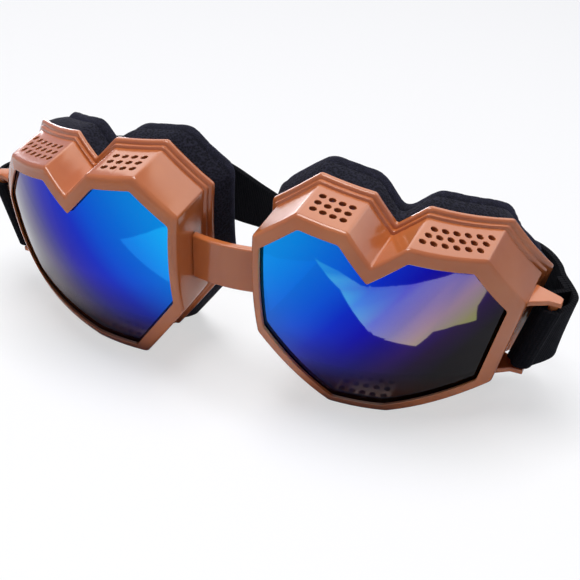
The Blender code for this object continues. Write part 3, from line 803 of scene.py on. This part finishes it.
# The right strap half and the hook tape are drawn on the left and then flipped over
straps = {}
for word, layer in (("left", 0.0), ("right", OUTER_LAYER)):
    route = strap_route(STRAP_END_X[word], layer)
    strap = ribbon(f"elastic_strap_{word}", route, STRAP_WIDTH, STRAP_THICKNESS, SLACK_START_X[word])
    if word == "right":
        flip(strap)
    rest(strap)
    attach(strap, f"strap_half_{word}")
    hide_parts(f"strap_{word}")
    straps[word] = strap
tapes = {
    "loop": make_tape("loop_pile_tape", STRAP_END_X["left"], LOOP_TAPE_LENGTH, TAPE_LAYER),
    "hook": make_tape("nylon_hook_tape", STRAP_END_X["right"], HOOK_TAPE_LENGTH, OUTER_LAYER - TAPE_LAYER),
}
flip(tapes["hook"])
for word, body, slot in (
    ("loop", "strap_half_left", "black_fleece"),
    ("hook", "strap_half_right", "black_hook_tape"),
):
    rest(tapes[word])
    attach(tapes[word], body)
    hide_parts(f"{word}_tape")


# Materials
def moulded_abs():
    """Glossy ABS from a polished mould: sharp reflections, a faint ripple, and tone that clouds where the melt met."""
    material, tree, shader = principled("moulded_tan_abs", "#B56B43", IOR=1.53)
    place = add(tree, "ShaderNodeTexCoord").outputs["Object"]
    cloud = add(tree, "ShaderNodeTexNoise", {"Scale": cells(16.667), "Detail": 3.0}, {"Vector": place})
    tone = add(
        tree, "ShaderNodeValToRGB", links={"Fac": cloud.outputs["Fac"]},
        stops=((0.30, "#AA5D31"), (0.52, "#AF6234"), (0.72, "#B46839")),
    )
    waves = add(tree, "ShaderNodeTexNoise", {"Scale": cells(4.1667), "Detail": 1.0}, {"Vector": place})
    gloss = add(tree, "ShaderNodeMapRange", {"To Min": 0.13, "To Max": 0.18}, {"Value": waves.outputs["Fac"]})
    ripple = add(tree, "ShaderNodeBump", {"Strength": 0.03, "Distance": 0.0003}, {"Height": waves.outputs["Fac"]})
    tree.links.new(tone.outputs["Color"], shader.inputs["Base Color"])
    tree.links.new(gloss.outputs["Result"], shader.inputs["Roughness"])
    tree.links.new(ripple.outputs["Normal"], shader.inputs["Normal"])
    return material


def mirror_lens():
    """Polycarbonate with a graded mirror coating, azure by the nose to violet, thin at the foot, with painted shade to
    black at the temple.
    """
    material, tree, shader = principled(
        "blue_mirror_polycarbonate", "#0A50D0", Metallic=1.0, Roughness=0.06,
        Coat_Weight=0.10, Coat_IOR=1.5, Coat_Roughness=0.03,
    )
    place = add(tree, "ShaderNodeTexCoord").outputs["Object"]
    parts = add(tree, "ShaderNodeSeparateXYZ", links={"Vector": place})
    out = add(tree, "ShaderNodeMath", {"operation": "ABSOLUTE"}, {0: parts.outputs["X"]})
    across = add(
        tree, "ShaderNodeMath", {"operation": "MULTIPLY_ADD", 1: GRADIENT_AND_SHADE_PER_X, 2: GRADIENT_AND_SHADE_START},
        {0: out.outputs[0]},
    )
    graded = add(
        tree, "ShaderNodeMath", {"operation": "MULTIPLY_ADD", 1: GRADIENT_AND_SHADE_PER_Z},
        {0: parts.outputs["Z"], 2: across.outputs[0]},
    )
    drift = add(tree, "ShaderNodeTexNoise", {"Scale": cells(35.714), "Detail": 1.0}, {"Vector": place})
    drifted = add(
        tree, "ShaderNodeMath", {"operation": "MULTIPLY_ADD", 1: GRADIENT_AND_SHADE_DRIFT},
        {0: drift.outputs["Fac"], 2: graded.outputs[0]},
    )
    # The stops from 0.75 on are painted shade: they darken the coating to black where the lens mirrors the shadowed
    # floor.
    coating_and_shade = add(tree, "ShaderNodeValToRGB", links={"Fac": drifted.outputs[0]}, stops=(
        (0.00, "#0090D9"), (0.12, "#007FD4"), (0.23, "#0066CC"), (0.34, "#004CC6"),
        (0.43, "#0026B6"), (0.53, "#08089E"), (0.61, "#17087C"), (0.68, "#2C1461"),
        (0.75, "#25153A"), (0.83, "#151318"), (0.93, "#070706"),
    ))
    thinning = add(
        tree, "ShaderNodeMapRange",
        {"From Min": COATING_THIN_Z, "From Max": COATING_FULL_Z, "To Min": COATING_THIN_ALPHA},
        {"Value": parts.outputs["Z"]},
    )
    tree.links.new(coating_and_shade.outputs["Color"], shader.inputs["Base Color"])
    tree.links.new(thinning.outputs["Result"], shader.inputs["Alpha"])
    return material


def seal_rubber():
    """Moulded rubber: nearly black, with a dull sheen and a fine matt skin."""
    material, tree, shader = principled("black_seal_rubber", "#121214", Roughness=0.55)
    place = add(tree, "ShaderNodeTexCoord").outputs["Object"]
    skin = add(tree, "ShaderNodeTexNoise", {"Scale": cells(0.38462), "Detail": 2.0}, {"Vector": place})
    gloss = add(tree, "ShaderNodeMapRange", {"To Min": 0.45, "To Max": 0.65}, {"Value": skin.outputs["Fac"]})
    dimple = add(tree, "ShaderNodeBump", {"Strength": 0.2, "Distance": 0.0001}, {"Height": skin.outputs["Fac"]})
    tree.links.new(gloss.outputs["Result"], shader.inputs["Roughness"])
    tree.links.new(dimple.outputs["Normal"], shader.inputs["Normal"])
    return material


def open_foam():
    """Open-cell polyurethane foam, whose pores (0.4 mm, drawn 0.7 mm so that they show) are painted dark inside as
    shade.
    """
    material, tree, shader = principled("charcoal_foam", "#22242B", Roughness=0.95, Specular_IOR_Level=0.2)
    place = add(tree, "ShaderNodeTexCoord").outputs["Object"]
    pores = add(tree, "ShaderNodeTexVoronoi", {"Scale": cells(0.71429)}, {"Vector": place})
    # The pores' middles are painted darker, as the shade inside them.
    tone = add(
        tree, "ShaderNodeValToRGB", links={"Fac": pores.outputs["Distance"]},
        stops=((0.08, "#08080D"), (0.40, "#15151E"), (0.75, "#22222E")),
    )
    pitted = add(tree, "ShaderNodeBump", {"Strength": 0.7, "Distance": 0.0004}, {"Height": pores.outputs["Distance"]})
    tree.links.new(tone.outputs["Color"], shader.inputs["Base Color"])
    tree.links.new(pitted.outputs["Normal"], shader.inputs["Normal"])
    return material


def brushed_fleece(name):
    """Brushed polyester fleece: black and soft, in small tufts whose fibre tips are painted lighter as highlights, the
    hollows between them darker as shade.

    The fibre tips are 0.1 mm across on the real one, and drawn 0.35 mm so that they show.
    """
    material, tree, shader = principled(
        name, "#191B22", Roughness=0.95, Specular_IOR_Level=0.15,
        Sheen_Weight=0.1, Sheen_Roughness=0.45, Sheen_Tint=linear("#8484C0"),
    )
    place = add(tree, "ShaderNodeTexCoord").outputs["Object"]
    tufts = add(
        tree, "ShaderNodeTexNoise", {"Scale": cells(1.6129), "Detail": 3.0, "Roughness": 0.7}, {"Vector": place}
    )
    fibre = add(
        tree, "ShaderNodeTexNoise", {"Scale": cells(0.34483), "Detail": 4.0, "Roughness": 0.75}, {"Vector": place}
    )
    pile = add(
        tree, "ShaderNodeMath", {"operation": "MULTIPLY_ADD", 1: 0.45},
        {0: tufts.outputs["Fac"], 2: fibre.outputs["Fac"]},
    )
    # The raised tufts and fibre tips are painted lighter as highlights, and the hollows between them darker as shade.
    tone = add(
        tree, "ShaderNodeValToRGB", links={"Fac": pile.outputs[0]},
        stops=((0.52, "#07070C"), (0.70, "#101018"), (0.84, "#1F1F2D"), (0.96, "#38384C")),
    )
    nap = add(tree, "ShaderNodeBump", {"Strength": 0.8, "Distance": 0.0005}, {"Height": pile.outputs[0]})
    tree.links.new(tone.outputs["Color"], shader.inputs["Base Color"])
    tree.links.new(nap.outputs["Normal"], shader.inputs["Normal"])
    return material


def woven_elastic():
    """Brushed woven elastic: dull black, with cross ribs over the rubber cores, warp lines and a short fuzz.

    The ribs are 0.7 mm apart on the real one, and drawn 1 mm apart so that they show.
    """
    material, tree, shader = principled(
        "black_brushed_elastic", "#101116", Roughness=0.95, Specular_IOR_Level=0.1,
        Sheen_Weight=0.03, Sheen_Roughness=0.5, Sheen_Tint=linear("#7C8298"),
    )
    cloth = add(tree, "ShaderNodeUVMap", {"uv_map": "cloth"}).outputs["UV"]
    ribs = add(
        tree, "ShaderNodeTexWave", {"bands_direction": "X", "Scale": bands(1.0005), "Distortion": 1.2, "Detail": 2.0},
        {"Vector": cloth},
    )
    warp = add(
        tree, "ShaderNodeTexWave", {"bands_direction": "Y", "Scale": bands(0.748), "Distortion": 2.0, "Detail": 2.0},
        {"Vector": cloth},
    )
    place = add(tree, "ShaderNodeTexCoord").outputs["Object"]
    fuzz = add(
        tree, "ShaderNodeTexNoise", {"Scale": cells(0.38462), "Detail": 4.0, "Roughness": 0.75}, {"Vector": place}
    )
    weave = add(
        tree, "ShaderNodeMath", {"operation": "MULTIPLY_ADD", 1: 0.5},
        {0: warp.outputs["Fac"], 2: ribs.outputs["Fac"]},
    )
    mixed = add(
        tree, "ShaderNodeMath", {"operation": "MULTIPLY_ADD", 1: 1.3},
        {0: fuzz.outputs["Fac"], 2: weave.outputs[0]},
    )
    tone = add(
        tree, "ShaderNodeValToRGB", links={"Fac": mixed.outputs[0]},
        stops=((0.45, "#010102"), (0.80, "#030305"), (1.0, "#09090D")),
    )
    thread = add(tree, "ShaderNodeBump", {"Strength": 0.55, "Distance": 0.0003}, {"Height": mixed.outputs[0]})
    tree.links.new(tone.outputs["Color"], shader.inputs["Base Color"])
    tree.links.new(thread.outputs["Normal"], shader.inputs["Normal"])
    return material


def hook_nylon():
    """Nylon hook tape: a black base with rows of stiff, slightly shiny hooks every 1.2 mm, their tops painted lighter
    as a highlight.
    """
    material, tree, shader = principled("black_nylon_hooks", "#0E0E10", Roughness=0.45)
    place = add(tree, "ShaderNodeTexCoord").outputs["Object"]
    hooks = add(tree, "ShaderNodeTexVoronoi", {"Scale": cells(1.2048), "Randomness": 0.15}, {"Vector": place})
    # The hooks' middles are painted lighter, as their highlight.
    tone = add(
        tree, "ShaderNodeValToRGB", links={"Fac": hooks.outputs["Distance"]},
        stops=((0.10, "#2A2A2E"), (0.45, "#0B0B0D")),
    )
    raised = add(
        tree, "ShaderNodeBump", {"Strength": 0.8, "Distance": 0.0003, "invert": True},
        {"Height": hooks.outputs["Distance"]},
    )
    tree.links.new(tone.outputs["Color"], shader.inputs["Base Color"])
    tree.links.new(raised.outputs["Normal"], shader.inputs["Normal"])
    return material


def paint(pieces, material):
    """Give pieces a material as their only one."""
    for piece in pieces:
        piece.data.materials.clear()
        piece.data.materials.append(material)


paint([*cups.values(), bridge], moulded_abs())
paint(lenses.values(), mirror_lens())
paint(seals.values(), seal_rubber())
paint(foams.values(), open_foam())
paint(fleeces.values(), brushed_fleece("black_fleece"))
paint(straps.values(), woven_elastic())
paint([tapes["loop"]], brushed_fleece("black_loop_pile"))
paint([tapes["hook"]], hook_nylon())


# Floor, light and camera
def make_camera():
    """The photograph's viewpoint: 21 degrees to the wearer's left and 29 up, with a slight roll."""
    flat = math.cos(CAMERA_ELEVATION)
    back = Vector((math.sin(CAMERA_AZIMUTH) * flat, -math.cos(CAMERA_AZIMUTH) * flat, math.sin(CAMERA_ELEVATION)))
    right = (-back).cross(Vector((0, 0, 1))).normalized()
    up = back.cross(right)
    turned_right = right * math.cos(CAMERA_ROLL) + up * math.sin(CAMERA_ROLL)
    turned_up = up * math.cos(CAMERA_ROLL) - right * math.sin(CAMERA_ROLL)
    data = bpy.data.cameras.new("camera")
    data.sensor_width = 36
    data.lens = CAMERA_LENS
    camera = bpy.data.objects.new("camera", data)
    bpy.context.scene.collection.objects.link(camera)
    turn = Matrix((turned_right, turned_up, back)).transposed().to_4x4()
    camera.matrix_world = Matrix.Translation(CAMERA_PLACE) @ turn
    bpy.context.scene.camera = camera


def make_floor():
    """White matt paper, faintly uneven, which the camera sees a little lifted so that only the shadows leave white."""
    bpy.ops.object.select_all(action="DESELECT")
    bpy.ops.mesh.primitive_plane_add(size=FLOOR_SIZE)
    floor = bpy.context.object
    floor.name = "floor"
    material, tree, shader = principled("white_matt_paper", "#EDEEF2", Roughness=0.9, Specular_IOR_Level=0.0)
    place = add(tree, "ShaderNodeTexCoord").outputs["Object"]
    fibres = add(tree, "ShaderNodeTexNoise", {"Scale": cells(8.5714), "Detail": 3.0}, {"Vector": place})
    pressed = add(tree, "ShaderNodeBump", {"Strength": 0.05, "Distance": 0.0002}, {"Height": fibres.outputs["Fac"]})
    tree.links.new(pressed.outputs["Normal"], shader.inputs["Normal"])
    seen = add(tree, "ShaderNodeLightPath").outputs["Is Camera Ray"]
    share = add(tree, "ShaderNodeMath", {"operation": "MULTIPLY", 1: FLOOR_LIFT}, {0: seen})
    white = add(tree, "ShaderNodeEmission", {"Color": linear("#FFFFFF"), "Strength": 1.0})
    mixed = add(
        tree, "ShaderNodeMixShader",
        links={0: share.outputs[0], 1: shader.outputs["BSDF"], 2: white.outputs["Emission"]},
    )
    tree.links.new(mixed.outputs["Shader"], tree.nodes["Material Output"].inputs["Surface"])
    paint([floor], material)


def reflector(name, outline, tints, strength, lens, slope=(0, 0), start=0.5):
    """A bright card just above the floor in front of the goggles, mirrored by one lens alone.

    Its tints follow one another along the slope, which is given per metre.
    """
    bpy.ops.object.select_all(action="DESELECT")
    bpy.ops.mesh.primitive_circle_add(vertices=len(outline), radius=CUP_WIDTH, fill_type="NGON")
    card = bpy.context.object
    card.name = name
    for vertex, (x, y) in zip(card.data.vertices, outline):
        vertex.co = (x, y, CARD_HEIGHT)
    material, tree, shader = principled(
        f"{name}_paper", "#F7F8FB", Roughness=0.9, Specular_IOR_Level=0.0, Emission_Strength=strength
    )
    place = add(tree, "ShaderNodeTexCoord").outputs["Object"]
    leaning = add(tree, "ShaderNodeVectorMath", {"operation": "DOT_PRODUCT", 1: (*slope, 0)}, {0: place})
    along = add(tree, "ShaderNodeMath", {"operation": "ADD", 1: start}, {0: leaning.outputs["Value"]})
    tint = add(tree, "ShaderNodeValToRGB", links={"Fac": along.outputs[0]}, stops=tints)
    tree.links.new(tint.outputs["Color"], shader.inputs["Emission Color"])
    paint([card], material)
    card.visible_camera = False
    card.visible_diffuse = False
    card.visible_shadow = False
    card.visible_transmission = False
    mirror = bpy.data.collections.new(f"{name}_mirror")
    mirror.objects.link(lens)
    card.light_linking.receiver_collection = mirror


def area_light(name, place, aim, size, power, colour, diffuse=True):
    """A softbox aimed at a point, which may light only the gloss."""
    data = bpy.data.lights.new(name, "AREA")
    data.shape = "RECTANGLE"
    data.size, data.size_y = size
    data.energy = power
    data.color = linear(colour)[:3]
    light = bpy.data.objects.new(name, data)
    bpy.context.scene.collection.objects.link(light)
    turn = (Vector(aim) - Vector(place)).to_track_quat("-Z", "Y").to_matrix().to_4x4()
    light.matrix_world = Matrix.Translation(place) @ turn
    light.visible_diffuse = diffuse


def make_world():
    """A pale sky: white to the camera, dim where it lights matt surfaces and brighter in their gloss."""
    studio = bpy.data.worlds.new("studio")
    bpy.context.scene.world = studio
    studio.use_nodes = True
    tree = studio.node_tree
    sky = tree.nodes["Background"]
    ray = add(tree, "ShaderNodeLightPath")
    tone = add(
        tree, "ShaderNodeValToRGB", links={"Fac": ray.outputs["Is Camera Ray"]},
        stops=((0.0, "#CFDCFF"), (1.0, "#FFFFFF")),
    )
    gloss = add(tree, "ShaderNodeMapRange", {"To Min": 0.18, "To Max": 0.75}, {"Value": ray.outputs["Is Glossy Ray"]})
    level = add(
        tree, "ShaderNodeMath", {"operation": "MAXIMUM"},
        {0: gloss.outputs["Result"], 1: ray.outputs["Is Camera Ray"]},
    )
    tree.links.new(tone.outputs["Color"], sky.inputs["Color"])
    tree.links.new(level.outputs[0], sky.inputs["Strength"])


make_camera()
make_floor()
reflector(
    "window_card", WINDOW_OUTLINE, WINDOW_TINTS, strength=25.0, lens=lenses["left"],
    slope=(1.326, 3.102), start=0.705,
)
reflector("low_card", LOW_OUTLINE, LOW_TINTS, strength=0.8, lens=lenses["right"])
area_light(
    "overhead_softbox", place=(-0.05, -0.1, 1.2), aim=(0, 0, 0), size=(0.9, 0.7), power=17.5, colour="#FFFDFA"
)
area_light(
    "back_softbox", place=(0.0, 0.9, 0.75), aim=(0, 0, 0.03), size=(1.9, 0.7), power=9.0, colour="#FFF3E5",
    diffuse=False,
)
area_light(
    "rear_left_softbox", place=(-0.56, 0.72, 0.07), aim=(0.03, -0.03, 0.05), size=(0.45, 0.13), power=1.5,
    colour="#FFF7F7", diffuse=False,
)
make_world()
bpy.context.scene.view_settings.view_transform = "Standard"
